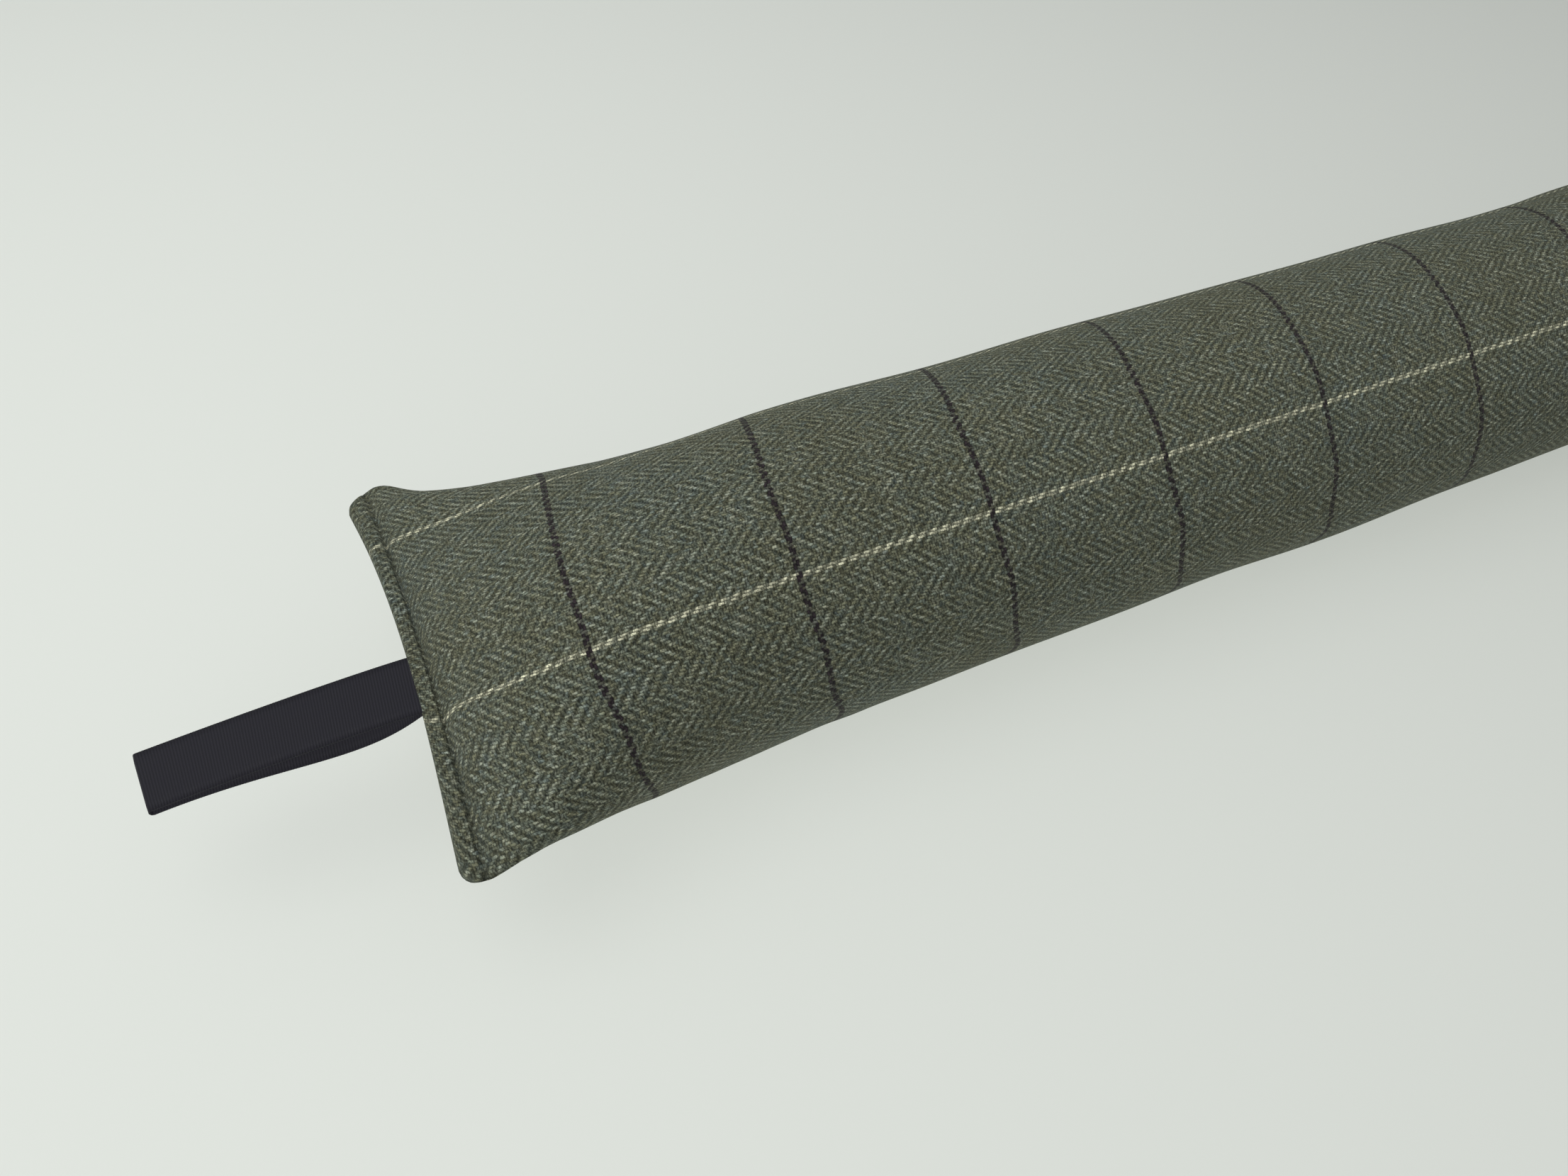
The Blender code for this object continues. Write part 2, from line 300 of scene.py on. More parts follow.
# The stage: a pale floor, lamps that aim at a place, all of one daylight, and an even surround
FLOOR_FINISH = {
    "Base Color": (0.760, 0.780, 0.750, 1.0),
    "Roughness": 0.75,
    "Specular IOR Level": 0.15,
}
FLOOR_REACH = 6.0
DAYLIGHT = (0.985, 1.0, 0.975)
Lamp = namedtuple("Lamp", "name place aim size power shadows")
LAMPS = (
    Lamp("softbox", (-0.80, 0.05, 1.5), (-0.45, 0.0, 0.0), 1.2, 1.5, True),
    Lamp("fill", (-0.90, 0.30, 1.7), (-0.45, 0.15, 0.0), 1.3, 24.2, False),
    Lamp("front_fill", (-0.70, -1.4, 0.8), (-0.30, 0.0, 0.0), 1.0, 6.2, False),
)
SURROUND_COLOUR = (0.97, 1.0, 0.98, 1.0)
SURROUND_STRENGTH = 0.20

# Camera: where it stands and which way it looks, with the photograph's frame
CAMERA_AT = (-0.43320, -0.24835, 0.34620)
CAMERA_RIGHT = (0.9152, -0.4030, 0.0)
CAMERA_FORWARD = (0.2668, 0.6057, -0.7496)
PHOTO_WIDTH = 2212
FOCAL_PIXELS = 1720
SENSOR_WIDTH = 36.0
NEAREST_SEEN = 0.01


def fade(distance, reach):
    """1 where something is strongest, such as at a sewn edge, easing to 0 past its reach."""
    return math.exp(-((distance / reach) ** 2))


def flange_half(inwards):
    """Half the thickness of the topstitched edge."""
    rounded = min(inwards / EDGE_ROUND, 1.0)
    half = EDGE_HALF + (FLANGE_HALF - EDGE_HALF) * math.sqrt(1 - (1 - rounded) ** 2)
    if inwards > CREASE_START:
        share = min((inwards - CREASE_START) / (FLANGE - CREASE_START), 1.0)
        half = FLANGE_HALF + (CREASE_HALF - FLANGE_HALF) * share**2
    return half


def half_height(inwards, size, end):
    """Half the height of the section at this distance in from the sewn edge."""
    share = min(max((inwards - FLANGE) / end.rise, 0.0), 1.0)
    filled = size * FULL_HEIGHT * (1 - (1 - share) ** end.power) ** end.root
    return max(filled, flange_half(inwards))


def half_width(half, around):
    """Half the width of a flattened round of this half height, whose outline is this long."""
    low, high = 0.0, 0.5 * around
    for _ in range(HALVINGS):
        wide = 0.5 * (low + high)
        lean = ((wide - half) / (wide + half)) ** 2
        outline = math.pi * (wide + half) * (1 + 3 * lean / (10 + math.sqrt(4 - 3 * lean)))
        low, high = (wide, high) if outline < around else (low, wide)
    return wide


def even_outline(wide, half, squareness):
    """Points round a section at equal steps of cloth, from its top towards -Y and on round."""
    turn = np.linspace(0, 2 * math.pi, FINE_STEPS + 1)
    power = 2 / squareness
    across = -wide * np.sign(np.sin(turn)) * np.abs(np.sin(turn)) ** power
    up = half * np.sign(np.cos(turn)) * np.abs(np.cos(turn)) ** power
    run = np.concatenate([[0.0], np.cumsum(np.hypot(np.diff(across), np.diff(up)))])
    steps = np.linspace(0, run[-1], POINTS_ROUND + 1)[:-1]
    return np.interp(steps, run, across), np.interp(steps, run, up)


def tube_size(from_near):
    """The tube's share of its full size: it slims a little away from the near end."""
    reached = min(max(from_near - TAPER_START, 0.0), TAPER_REACH)
    return 1 - TAPER_PER_METRE * reached


def puckers(across, up, inwards):
    """How far the cloth lifts where the topstitching gathers it."""
    if inwards <= FLANGE:
        return np.zeros_like(across)
    run = (inwards - FLANGE) / PUCKER_PEAK
    strength = run * math.exp(1 - run)
    lift = np.zeros_like(across)
    for rows, side in ((TOP_PUCKERS, 1), (UNDER_PUCKERS, -1)):
        wave = sum(p.height * np.sin(2 * math.pi * across / p.pitch + p.phase) for p in rows)
        lift = lift + np.where(side * up > 0, side * wave, 0)
    return strength * lift * np.clip(np.abs(up) / FLANGE, 0, 1)


def dimples(across, up, side, inwards):
    """How far each stitch draws the cloth in along the line of topstitching, on both faces."""
    depth = DIMPLE_DEPTH * fade(inwards - FLANGE, DIMPLE_REACH)
    wave = np.cos(2 * math.pi * across / STITCH_PITCH)
    return depth * wave * np.sign(up) * (np.abs(side) < DIMPLED_SHARE)


def folded(across, up, from_near, inwards):
    """The slow folds, as a swelling or sinking of the section's outline."""
    turn = np.arctan2(up, across)
    swell = sum(
        f.height * np.sin(2 * math.pi * from_near / f.wave + f.turns * turn + f.phase) for f in FOLDS
    )
    loose = 1 - fade(inwards, FOLDS_REACH)
    share = 1 + loose * swell / np.maximum(np.hypot(across, up), TUBE_RADIUS / 2)
    return across * share, up * share


def rested(height):
    """Cloth that would lie below the surface lies on it, with a short ease where it lifts off."""
    eased = (height + FLOOR_EASE) ** 2 / (4 * FLOOR_EASE)
    on_or_off = np.where(height > FLOOR_EASE, height, eased)
    return np.where(height < -FLOOR_EASE, 0.0, on_or_off)


def section(from_near):
    """The casing's outline at one distance from the near edge, as points (x, y, z)."""
    from_far = CASING_LENGTH - from_near
    near = from_near <= from_far
    inwards, end, seam = (from_near, NEAR_END, NEAR_SEAM) if near else (from_far, FAR_END, FAR_SEAM)
    size = tube_size(from_near)
    half = half_height(inwards, size, end)
    share = SEAM_CLOTH_SHARE + (1 - SEAM_CLOTH_SHARE) * min(inwards / SEAM_CLOTH_REACH, 1)
    wide = half_width(max(half, FLANGE_HALF), CLOTH_ROUND * size * share)
    corner = min(inwards / CORNER_RADIUS, 1.0)
    wide = wide - CORNER_RADIUS * (1 - math.sqrt(1 - (1 - corner) ** 2))
    squareness = 2 + FLANGE_SQUARENESS * fade(inwards, SQUARENESS_REACH)
    across, up = even_outline(wide, half, squareness)
    side = across / wide
    up = up + puckers(across, up, inwards) + dimples(across, up, side, inwards)
    across, up = folded(across, up, from_near, inwards)
    near_side, far_side = np.clip(-side, 0, 1), np.clip(side, 0, 1)
    up = up - seam.near * near_side**NEAR_POWER * fade(inwards, seam.near_reach)
    up = up - seam.far * far_side**FAR_POWER * fade(inwards, seam.far_reach)
    up = up + EAR_LIFT * far_side**EAR_POWER * fade(inwards, EAR_REACH)
    roll = math.radians(end.roll) * (1 - fade(inwards, end.roll_reach))
    y = across * math.cos(roll) - up * math.sin(roll) + end.offset * fade(inwards, end.offset_reach)
    z = across * math.sin(roll) + up * math.cos(roll) + end.height * fade(inwards, end.height_reach)
    drawn = (seam.pull * (1 - side**2) - seam.skew / 2 * side) * fade(inwards, PULL_REACH)
    along = from_near + (drawn if near else -drawn)
    return np.stack([along - CASING_LENGTH / 2, y, rested(z + AXIS_HEIGHT)], axis=1)


def stations():
    """Distances from the near edge, closest together where the edge is creased."""
    near = [0.0]
    for reach, step in END_STEPS:
        count = max(round((reach - near[-1]) / step), 1)
        near.extend(np.linspace(near[-1], reach, count + 1)[1:].tolist())
    count = round((CASING_LENGTH - 2 * near[-1]) / MIDDLE_STEP)
    middle = np.linspace(near[-1], CASING_LENGTH - near[-1], count + 1)[1:-1]
    return [*near, *middle.tolist(), *(CASING_LENGTH - s for s in reversed(near))]


def band_face(row, k, count):
    """The face between point k of one closed row of points and the next row."""
    here, beyond = row * count, (row + 1) * count
    after = (k + 1) % count
    return here + k, here + after, beyond + after, beyond + k


def trial_cloth(rings, held_rows):
    """An open tube of the casing's cloth to simulate, held at its seams and where it rests."""
    rows, count = rings.shape[:2]
    faces = [band_face(row, k, count) for row in range(rows - 1) for k in range(count)]
    data = bpy.data.meshes.new("trial_cloth")
    data.from_pydata(rings.reshape(-1, 3).tolist(), [], faces)
    trial = bpy.data.objects.new("trial_cloth", data)
    bpy.context.scene.collection.objects.link(trial)
    fixed = np.repeat(held_rows, count) | (rings.reshape(-1, 3)[:, 2] < RESTING_BELOW)
    held = trial.vertex_groups.new(name="held")
    held.add(np.flatnonzero(fixed).tolist(), 1.0, "REPLACE")
    cloth = trial.modifiers.new("cloth", "CLOTH")
    cloth.settings.quality = CLOTH_QUALITY
    cloth.settings.mass = CLOTH_POINT_MASS
    cloth.settings.use_pressure = True
    cloth.settings.uniform_pressure_force = FILLING_PRESSURE
    cloth.settings.shrink_min = -CLOTH_EASE
    cloth.settings.vertex_group_mass = "held"
    cloth.settings.effector_weights.gravity = 0.0
    cloth.collision_settings.use_collision = False
    return trial


def simulated(trial):
    """The trial cloth's points after its filling has pressed it out."""
    for frame in range(1, CLOTH_FRAMES + 1):
        bpy.context.scene.frame_set(frame)
    made = trial.evaluated_get(bpy.context.evaluated_depsgraph_get())
    points = np.empty(3 * len(made.data.vertices))
    made.data.vertices.foreach_get("co", points)
    bpy.data.objects.remove(trial, do_unlink=True)
    bpy.context.scene.frame_set(1)
    return points.reshape(-1, 3)


def smoothed(move):
    """The moves with each point's averaged with those round it and beside it, a few times over."""
    for _ in range(SMOOTHINGS):
        move = (np.roll(move, 1, axis=1) + 2 * move + np.roll(move, -1, axis=1)) / 4
        move[1:-1] = (move[:-2] + 2 * move[1:-1] + move[2:]) / 4
    return move


def pressed_out(rings):
    """The rings with the creases that a short cloth simulation gives them, none moved far."""
    at = np.array(stations())
    kept = [0]
    for row in range(1, len(at)):
        if at[row] - at[kept[-1]] >= TRIAL_STEP:
            kept.append(row)
    inwards = np.minimum(at[kept], CASING_LENGTH - at[kept])
    start = rings[kept][:, ::TRIAL_EVERY]
    after = simulated(trial_cloth(start, inwards < HELD_EDGE)).reshape(start.shape)
    move = after - start
    far = np.linalg.norm(move, axis=2, keepdims=True)
    move = move * np.minimum(1.0, MOST_MOVE / np.maximum(far, 1e-9))
    fine = np.empty((len(at), start.shape[1], 3))
    for k in range(start.shape[1]):
        for axis in range(3):
            fine[:, k, axis] = np.interp(at, at[kept], move[:, k, axis])
    moved = rings + smoothed(np.repeat(fine, TRIAL_EVERY, axis=1))
    moved[:, :, 2] = np.maximum(moved[:, :, 2], 0.0)
    return moved


def cloth_along(rings):
    """Cloth length from the near edge for each point, the same all round at the far edge."""
    steps = np.linalg.norm(np.diff(rings, axis=0), axis=2)
    run = np.concatenate([np.zeros((1, rings.shape[1])), np.cumsum(steps, axis=0)])
    whole = run[-1].mean()
    share = np.clip((run / whole - EVEN_FROM) / EVEN_OVER, 0, 1)
    return run + (whole - run[-1]) * share * share * (3 - 2 * share)


def on_cloth(along, around):
    """The cloth's own coordinates, with the bow of its picks and the slip of its ends taken off."""
    grown = BOW_AT_SEAM + BOW_GROWTH * (1 - math.exp(-along / BOW_REACH))
    bow = BOW_DEPTH * grown * (1 - fade(around - BOW_AROUND, BOW_WIDTH))
    slip = SLIP_DEPTH * (1 - math.exp(-along / SLIP_REACH)) * fade(around - SLIP_AROUND, SLIP_WIDTH)
    return along - bow, around - slip


def closing_quads(ring, outwards):
    """The faces that close a sewn edge, joining each point of its upper side to the one below."""
    count = len(ring)
    quads = []
    for step in range(-count // 4, count // 4):
        upper = [ring[step % count], ring[(step + 1) % count]]
        lower = [ring[(count // 2 - step - 1) % count], ring[(count // 2 - step) % count]]
        corners = list(dict.fromkeys(upper + lower))
        quads.append(corners if outwards else corners[::-1])
    return quads


def casing_mesh(rings):
    """The casing through its rings, with the cloth's own coordinates as its UV map, in metres."""
    count = rings.shape[1]
    along = cloth_along(rings)
    around = (np.arange(count + 1) / count + 0.5) % 1.0 - 0.5
    around = np.where(np.isclose(around, -0.5), 0.5, around) * CLOTH_ROUND
    faces, coords = [], []
    for row in range(len(rings) - 1):
        for k in range(count):
            after = (k + 1) % count
            v_here, v_after = around[k], around[after]
            if k == count // 2:
                v_here = -0.5 * CLOTH_ROUND
            faces.append(band_face(row, k, count))
            coords.append(
                (
                    on_cloth(along[row, k], v_here),
                    on_cloth(along[row, after], v_after),
                    on_cloth(along[row + 1, after], v_after),
                    on_cloth(along[row + 1, k], v_here),
                )
            )
    for row, outwards in ((0, False), (len(rings) - 1, True)):
        ring = list(range(row * count, (row + 1) * count))
        for corners in closing_quads(ring, outwards):
            faces.append(tuple(corners))
            places = [c - row * count for c in corners]
            coords.append(tuple(on_cloth(along[row, k], around[k]) for k in places))
    data = bpy.data.meshes.new("tweed_casing")
    data.from_pydata(rings.reshape(-1, 3).tolist(), [], faces)
    layer = data.uv_layers.new(name="cloth")
    layer.uv.foreach_set("vector", np.array([c for face in coords for c in face]).ravel())
    inwards = np.array([min(at, CASING_LENGTH - at) for at in stations()])
    from_edge = data.attributes.new("from_edge", "FLOAT", "POINT")
    from_edge.data.foreach_set("value", np.repeat(inwards, count))
    data.shade_smooth()
    data.validate()
    return data


def stitch_line(inwards, from_near, above):
    """The line of topstitching across one face of an end, from the near side to the far side."""
    ring = section(inwards if from_near else CASING_LENGTH - inwards)
    half = len(ring) // 2
    first = -half // 2 if above else half // 2
    line = ring[np.arange(first, first + half + 1) % len(ring)]
    line = line[np.argsort(line[:, 1])]
    lowest, highest = line[0, 1] + CORNER_CLEAR, line[-1, 1] - CORNER_CLEAR
    return line[(line[:, 1] > lowest) & (line[:, 1] < highest)]


def add_stitch(mesh, start, end, lift):
    """One stitch: a short round thread that arches a little between its two holes."""
    rows = []
    side = (end - start).normalized().cross(lift).normalized()
    turns = [2 * math.pi * i / STITCH_SIDES for i in range(STITCH_SIDES)]
    for share in STITCH_SHARES:
        arch = math.sin(math.pi * share)
        centre = start.lerp(end, share) + lift * STITCH_RADIUS * (STITCH_ARCH * arch - STITCH_SINK)
        radius = STITCH_RADIUS * (STITCH_TIP + (1 - STITCH_TIP) * arch**0.5)
        places = [centre + radius * (math.cos(turn) * side + math.sin(turn) * lift) for turn in turns]
        rows.append([mesh.verts.new(place) for place in places])
    for first, second in zip(rows, rows[1:]):
        for i in range(STITCH_SIDES):
            after = (i + 1) % STITCH_SIDES
            mesh.faces.new((first[i], first[after], second[after], second[i]))
    mesh.faces.new(rows[0][::-1])
    mesh.faces.new(rows[-1])


def length_along(line):
    """How far along a line each of its points is."""
    return np.concatenate([[0.0], np.cumsum(np.linalg.norm(np.diff(line, axis=0), axis=1))])


def add_stitches(mesh, line, lift):
    """A row of stitches along a line, at an even pitch."""
    run = length_along(line)
    count = int(run[-1] / STITCH_PITCH)
    for i in range(count):
        middle = (i + 0.5) * run[-1] / count
        start, end = (
            Vector([float(np.interp(at, run, line[:, axis])) for axis in range(3)])
            for at in (middle - STITCH_LENGTH / 2, middle + STITCH_LENGTH / 2)
        )
        add_stitch(mesh, start, end, lift)


def stitching_mesh():
    """All the topstitching, on both faces of both ends."""
    mesh = bmesh.new()
    for from_near in (True, False):
        for above in (True, False):
            lift = Vector((0, 0, 1 if above else -1))
            add_stitches(mesh, stitch_line(FLANGE, from_near, above), lift)
    bmesh.ops.recalc_face_normals(mesh, faces=mesh.faces)
    data = bpy.data.meshes.new("topstitching")
    mesh.to_mesh(data)
    mesh.free()
    data.shade_smooth()
    return data


def loop_spread(share):
    """How far apart the ribbon's two layers are, from the seam to the fold."""
    bulge = math.sin(math.pi * share ** (math.log(0.5) / math.log(WIDEST_AT))) ** 2
    straight = ROOT_SPREAD + (FOLD_SPREAD - ROOT_SPREAD) * share
    return straight + (LOOP_SPREAD - straight) * bulge


def loop_line():
    """The ribbon's centre line (outwards, up), with even steps of a fraction of a rib."""
    reach = LOOP_LENGTH - FOLD_SPREAD / 2
    top = ROOT_SPREAD / 2
    upper, lower = [(-ROOT_DEPTH, top)], [(-ROOT_DEPTH, top - ROOT_SPREAD)]
    for x in np.linspace(0, reach, LOOP_STEPS):
        rise = top - RIBBON_SAG * (x / reach) ** SAG_POWER
        upper.append((x, rise))
        lower.append((x, rise - loop_spread(x / reach)))
    radius = FOLD_SPREAD / 2
    middle = upper[-1][1] - radius
    turns = [math.pi * (0.5 - i / FOLD_STEPS) for i in range(1, FOLD_STEPS)]
    fold = [(reach + radius * math.cos(turn), middle + radius * math.sin(turn)) for turn in turns]
    line = np.array(upper + fold + lower[::-1])
    run = length_along(line)
    count = int(round(run[-1] / RIB_PITCH)) * RIB_POINTS
    steps = np.linspace(0, run[-1], count + 1)
    return steps, np.stack([np.interp(steps, run, line[:, i]) for i in range(2)], axis=1)


def ribbon_mesh():
    """The loop as a thin ribbed strip, with the way along it and across it as its UV map."""
    steps, line = loop_line()
    slope = np.gradient(line, axis=0)
    slope /= np.linalg.norm(slope, axis=1)[:, None]
    normal = np.stack([-slope[:, 1], slope[:, 0]], axis=1)
    rib = RIB_HEIGHT * np.abs(np.sin(math.pi * steps / RIB_PITCH))
    shares = np.linspace(-1, 1, RIBBON_ACROSS + 1)
    profile = [(share, 1) for share in shares] + [(share, -1) for share in shares[::-1]]
    points, places = [], []
    for i, (x, z) in enumerate(line):
        skew = FOLD_SKEW / 2 * max(x / LOOP_LENGTH, 0.0) ** 2
        for share, face in profile:
            half = RIBBON_HALF * (SELVEDGE_SHARE if abs(share) == 1 else 1.0) + rib[i]
            outwards = x + skew * share + normal[i, 0] * face * half
            y = share * RIBBON_WIDTH / 2
            points.append((-outwards, y, z + normal[i, 1] * face * half))
            places.append((steps[i], y))
    count = len(profile)
    faces = [band_face(row, k, count) for row in range(len(line) - 1) for k in range(count)]
    faces.append(tuple(range(count))[::-1])
    faces.append(tuple((len(line) - 1) * count + k for k in range(count)))
    data = bpy.data.meshes.new("ribbon")
    data.from_pydata(points, [], faces)
    layer = data.uv_layers.new(name="ribbon")
    corners = np.array([v for face in faces for v in face])
    layer.uv.foreach_set("vector", np.array(places)[corners].ravel())
    made = bmesh.new()
    made.from_mesh(data)
    bmesh.ops.recalc_face_normals(made, faces=made.faces)
    made.to_mesh(data)
    made.free()
    data.shade_smooth()
    return data


def at_ribbon_root(ribbon):
    """Puts the ribbon where its middle comes out of the near sewn edge, turned with it."""
    half_edge = SEAM_CLOTH_SHARE * CLOTH_ROUND / 4
    drop = NEAR_SEAM.near * abs(RIBBON_SIDE) ** NEAR_POWER
    ribbon.location = (
        NEAR_SEAM.pull * (1 - RIBBON_SIDE**2) - NEAR_SEAM.skew / 2 * RIBBON_SIDE - CASING_LENGTH / 2,
        NEAR_END.offset + RIBBON_SIDE * half_edge,
        AXIS_HEIGHT + NEAR_END.height - drop,
    )
    ribbon.rotation_euler = (0.0, 0.0, math.radians(RIBBON_TURN))


class Shading:
    """A material's nodes, written as calls that return sockets."""

    def __init__(self, name, finish):
        """A material with the shader's values that are the same all over its surface."""
        self.material = bpy.data.materials.new(name)
        self.material.use_nodes = True
        self.tree = self.material.node_tree
        self.shader = self.tree.nodes["Principled BSDF"]
        for socket, value in finish.items():
            self.shader.inputs[socket].default_value = value

    def node(self, kind, *values, **settings):
        """A node with its first inputs fed in order, and its settings by name."""
        made = self.tree.nodes.new(kind)
        for name, value in settings.items():
            setattr(made, name, value)
        for socket, value in zip(made.inputs, values):
            self.feed(socket, value)
        return made

    def feed(self, socket, value):
        if isinstance(value, bpy.types.NodeSocket):
            self.tree.links.new(value, socket)
        elif value is not None:
            socket.default_value = value

    def math(self, operation, *values):
        return self.node("ShaderNodeMath", *values, operation=operation).outputs[0]

    def add(self, a, b):
        return self.math("ADD", a, b)

    def take(self, a, b):
        return self.math("SUBTRACT", a, b)

    def times(self, a, b):
        return self.math("MULTIPLY", a, b)

    def floor(self, a):
        return self.math("FLOOR", a)

    def remainder(self, a, b):
        return self.math("FLOORED_MODULO", a, b)

    def below(self, a, b):
        return self.math("LESS_THAN", a, b)

    def choose(self, when, chosen, otherwise):
        """chosen where when is 1, otherwise where it is 0."""
        made = self.node("ShaderNodeMix", data_type="FLOAT")
        for socket, value in ((0, when), (2, otherwise), (3, chosen)):
            self.feed(made.inputs[socket], value)
        return made.outputs[0]

    def blend(self, share, first, second, kind="MIX"):
        """Colours: first where share is 0, second where it is 1."""
        made = self.node("ShaderNodeMix", data_type="RGBA", blend_type=kind)
        for socket, value in ((0, share), (6, first), (7, second)):
            self.feed(made.inputs[socket], value)
        return made.outputs[2]

    def point(self, x, y, z=0.0):
        return self.node("ShaderNodeCombineXYZ", x, y, z).outputs[0]

    def by_name(self, kind, values):
        """A node with its inputs fed by name."""
        made = self.node(kind)
        for name, value in values.items():
            self.feed(made.inputs[name], value)
        return made

    def noise(self, place, scale, detail, roughness):
        settings = {"Vector": place, "Scale": scale, "Detail": detail, "Roughness": roughness}
        return self.by_name("ShaderNodeTexNoise", settings)

    def chance(self, place):
        """An even random number from 0 to 1 for each whole-number place."""
        return self.node("ShaderNodeTexWhiteNoise", place).outputs["Value"]

    def spread(self, value, low, high, new_low, new_high):
        """The value eased from one range into another."""
        made = self.node("ShaderNodeMapRange", value, low, high, new_low, new_high)
        made.interpolation_type = "SMOOTHSTEP"
        return made.outputs[0]

    def on_line(self, value, line):
        """A base, and the value times a slope."""
        return self.add(line.base, self.times(value, line.slope))

    def bump(self, height, distance, strength):
        settings = {"Height": height, "Distance": distance, "Strength": strength}
        made = self.by_name("ShaderNodeBump", settings)
        self.tree.links.new(made.outputs[0], self.shader.inputs["Normal"])


def rounded(s, share):
    """A round thread's height across it, from its share of the way across."""
    off = s.take(s.times(share, 2.0), 1.0)
    return s.math("SQRT", s.math("MAXIMUM", s.take(1.0, s.times(off, off)), 0.0))


def arched(s, share):
    """A float's height along it, as it comes up and goes down between the threads it crosses."""
    sine = s.math("SINE", s.times(share, math.pi))
    return s.math("POWER", s.math("MAXIMUM", sine, 0.0), FLOAT_POWER)


def thread_places(s, cloth):
    """How many threads along and across the cloth a place is, where the threads wander a little."""
    wander = s.node("ShaderNodeSeparateColor", s.noise(cloth, *WANDER_NOISE).outputs["Color"])
    parts = s.node("ShaderNodeSeparateXYZ", cloth)
    places = []
    for axis, pitch in ((0, PICK_PITCH), (1, END_PITCH)):
        strayed = s.times(s.take(wander.outputs[axis], 0.5), WANDER)
        places.append(s.add(s.math("DIVIDE", parts.outputs[axis], pitch), strayed))
    return places


def float_height(s, in_pick, in_end, phase, rising, warp_up):
    """How high the thread on top stands: round across it and arched along its float."""
    warp_float = s.times(s.add(phase, in_pick), 0.5)
    rising_float = s.times(s.add(s.take(phase, 2.0), in_end), 0.5)
    falling_float = s.times(s.add(s.take(3.0, phase), in_end), 0.5)
    weft_float = s.choose(rising, rising_float, falling_float)
    warp_height = s.times(rounded(s, in_end), s.on_line(arched(s, warp_float), WARP_HEIGHT))
    weft_height = s.times(rounded(s, in_pick), s.on_line(arched(s, weft_float), WEFT_HEIGHT))
    return s.choose(warp_up, warp_height, weft_height)


def strands(s, cloth, along, across, rising):
    """The diagonal ridges that floats side by side make, from 0 between them to 1 on them."""
    band = s.remainder(s.add(across, HERRINGBONE_SHIFT), 2.0 * HERRINGBONE_ENDS)
    step = s.choose(rising, band, s.take(2.0 * HERRINGBONE_ENDS + 2.0, band))
    loose = s.times(s.take(s.noise(cloth, *STRAND_NOISE).outputs["Fac"], 0.5), STRAND_LOOSENESS)
    diagonal = s.take(s.add(along, step), 1.5)
    turn = s.times(s.add(diagonal, loose), 2 * math.pi / TWILL_REPEAT)
    return s.math("POWER", s.add(0.5, s.times(s.math("COSINE", turn), 0.5)), STRAND_POWER)


def weave(s, cloth):
    """The herringbone: its threads, which is on top and how high, and where check threads show."""
    along, across = thread_places(s, cloth)
    pick, end = s.floor(along), s.floor(across)
    in_pick, in_end = s.take(along, pick), s.take(across, end)
    band = s.remainder(s.add(end, HERRINGBONE_SHIFT), 2.0 * HERRINGBONE_ENDS)
    rising = s.below(band, HERRINGBONE_ENDS - 0.5)
    step = s.choose(rising, band, s.take(2.0 * HERRINGBONE_ENDS + 1.0, band))
    phase = s.remainder(s.add(pick, step), TWILL_REPEAT)
    warp_up = s.below(phase, 1.5)
    height = float_height(s, in_pick, in_end, phase, rising, warp_up)
    in_cream = s.below(s.remainder(s.take(end, CREAM_END), CREAM_REPEAT), 1.5)
    cream = s.times(s.choose(warp_up, 1.0, CREAM_UNDER_WEFT), in_cream)
    in_dark = s.below(s.remainder(s.take(pick, DARK_PICK), DARK_REPEAT), 1.5)
    in_dark = s.times(in_dark, s.below(FIRST_DARK_AFTER, pick))
    dark = s.times(s.choose(warp_up, DARK_UNDER_WARP, 1.0), in_dark)
    ridges = strands(s, cloth, along, across, rising)
    strand = s.choose(s.math("MAXIMUM", cream, dark), CHECK_STRAND, ridges)
    return Weave(along, across, pick, end, in_end, step, warp_up, height, cream, dark, strand)


def float_chance(s, woven):
    """A random number from 0 to 1 for each float."""
    warp_float = s.floor(s.math("DIVIDE", s.add(woven.pick, woven.step), TWILL_REPEAT))
    weft_float = s.floor(s.times(s.add(woven.across, woven.step), 1 / TWILL_REPEAT))
    warp_chance = s.chance(s.point(woven.end, warp_float, WARP_SEED))
    weft_chance = s.chance(s.point(woven.pick, weft_float, WEFT_SEED))
    return s.choose(woven.warp_up, warp_chance, weft_chance)


def heather_colour(s, cloth, woven):
    """The wool's mixed colours, which change along each thread, in patches and over the cloth."""
    warp_run, weft_run = s.times(woven.along, TONE_RUN), s.times(woven.across, TONE_RUN)
    warp_place = s.point(warp_run, s.times(woven.end, WARP_TONE.jump), WARP_TONE.start)
    weft_place = s.point(s.times(woven.pick, WEFT_TONE.jump), weft_run, WEFT_TONE.start)
    warp_tone = s.noise(warp_place, *TONE_NOISE).outputs["Fac"]
    weft_tone = s.noise(weft_place, *TONE_NOISE).outputs["Fac"]
    tone = s.choose(woven.warp_up, warp_tone, weft_tone)
    patch = s.noise(cloth, *PATCH_NOISE).outputs["Fac"]
    region = s.noise(cloth, *REGION_NOISE).outputs["Fac"]
    patches = s.add(s.times(patch, PATCH_SHARE), s.times(region, REGION_SHARE))
    heather = s.add(s.times(tone, TONE_SHARE), patches)
    colour = s.blend(s.spread(heather, *SAGE_RAMP), OLIVE, SAGE)
    return s.blend(s.spread(heather, *BLUE_GREY_RAMP), colour, BLUE_GREY)


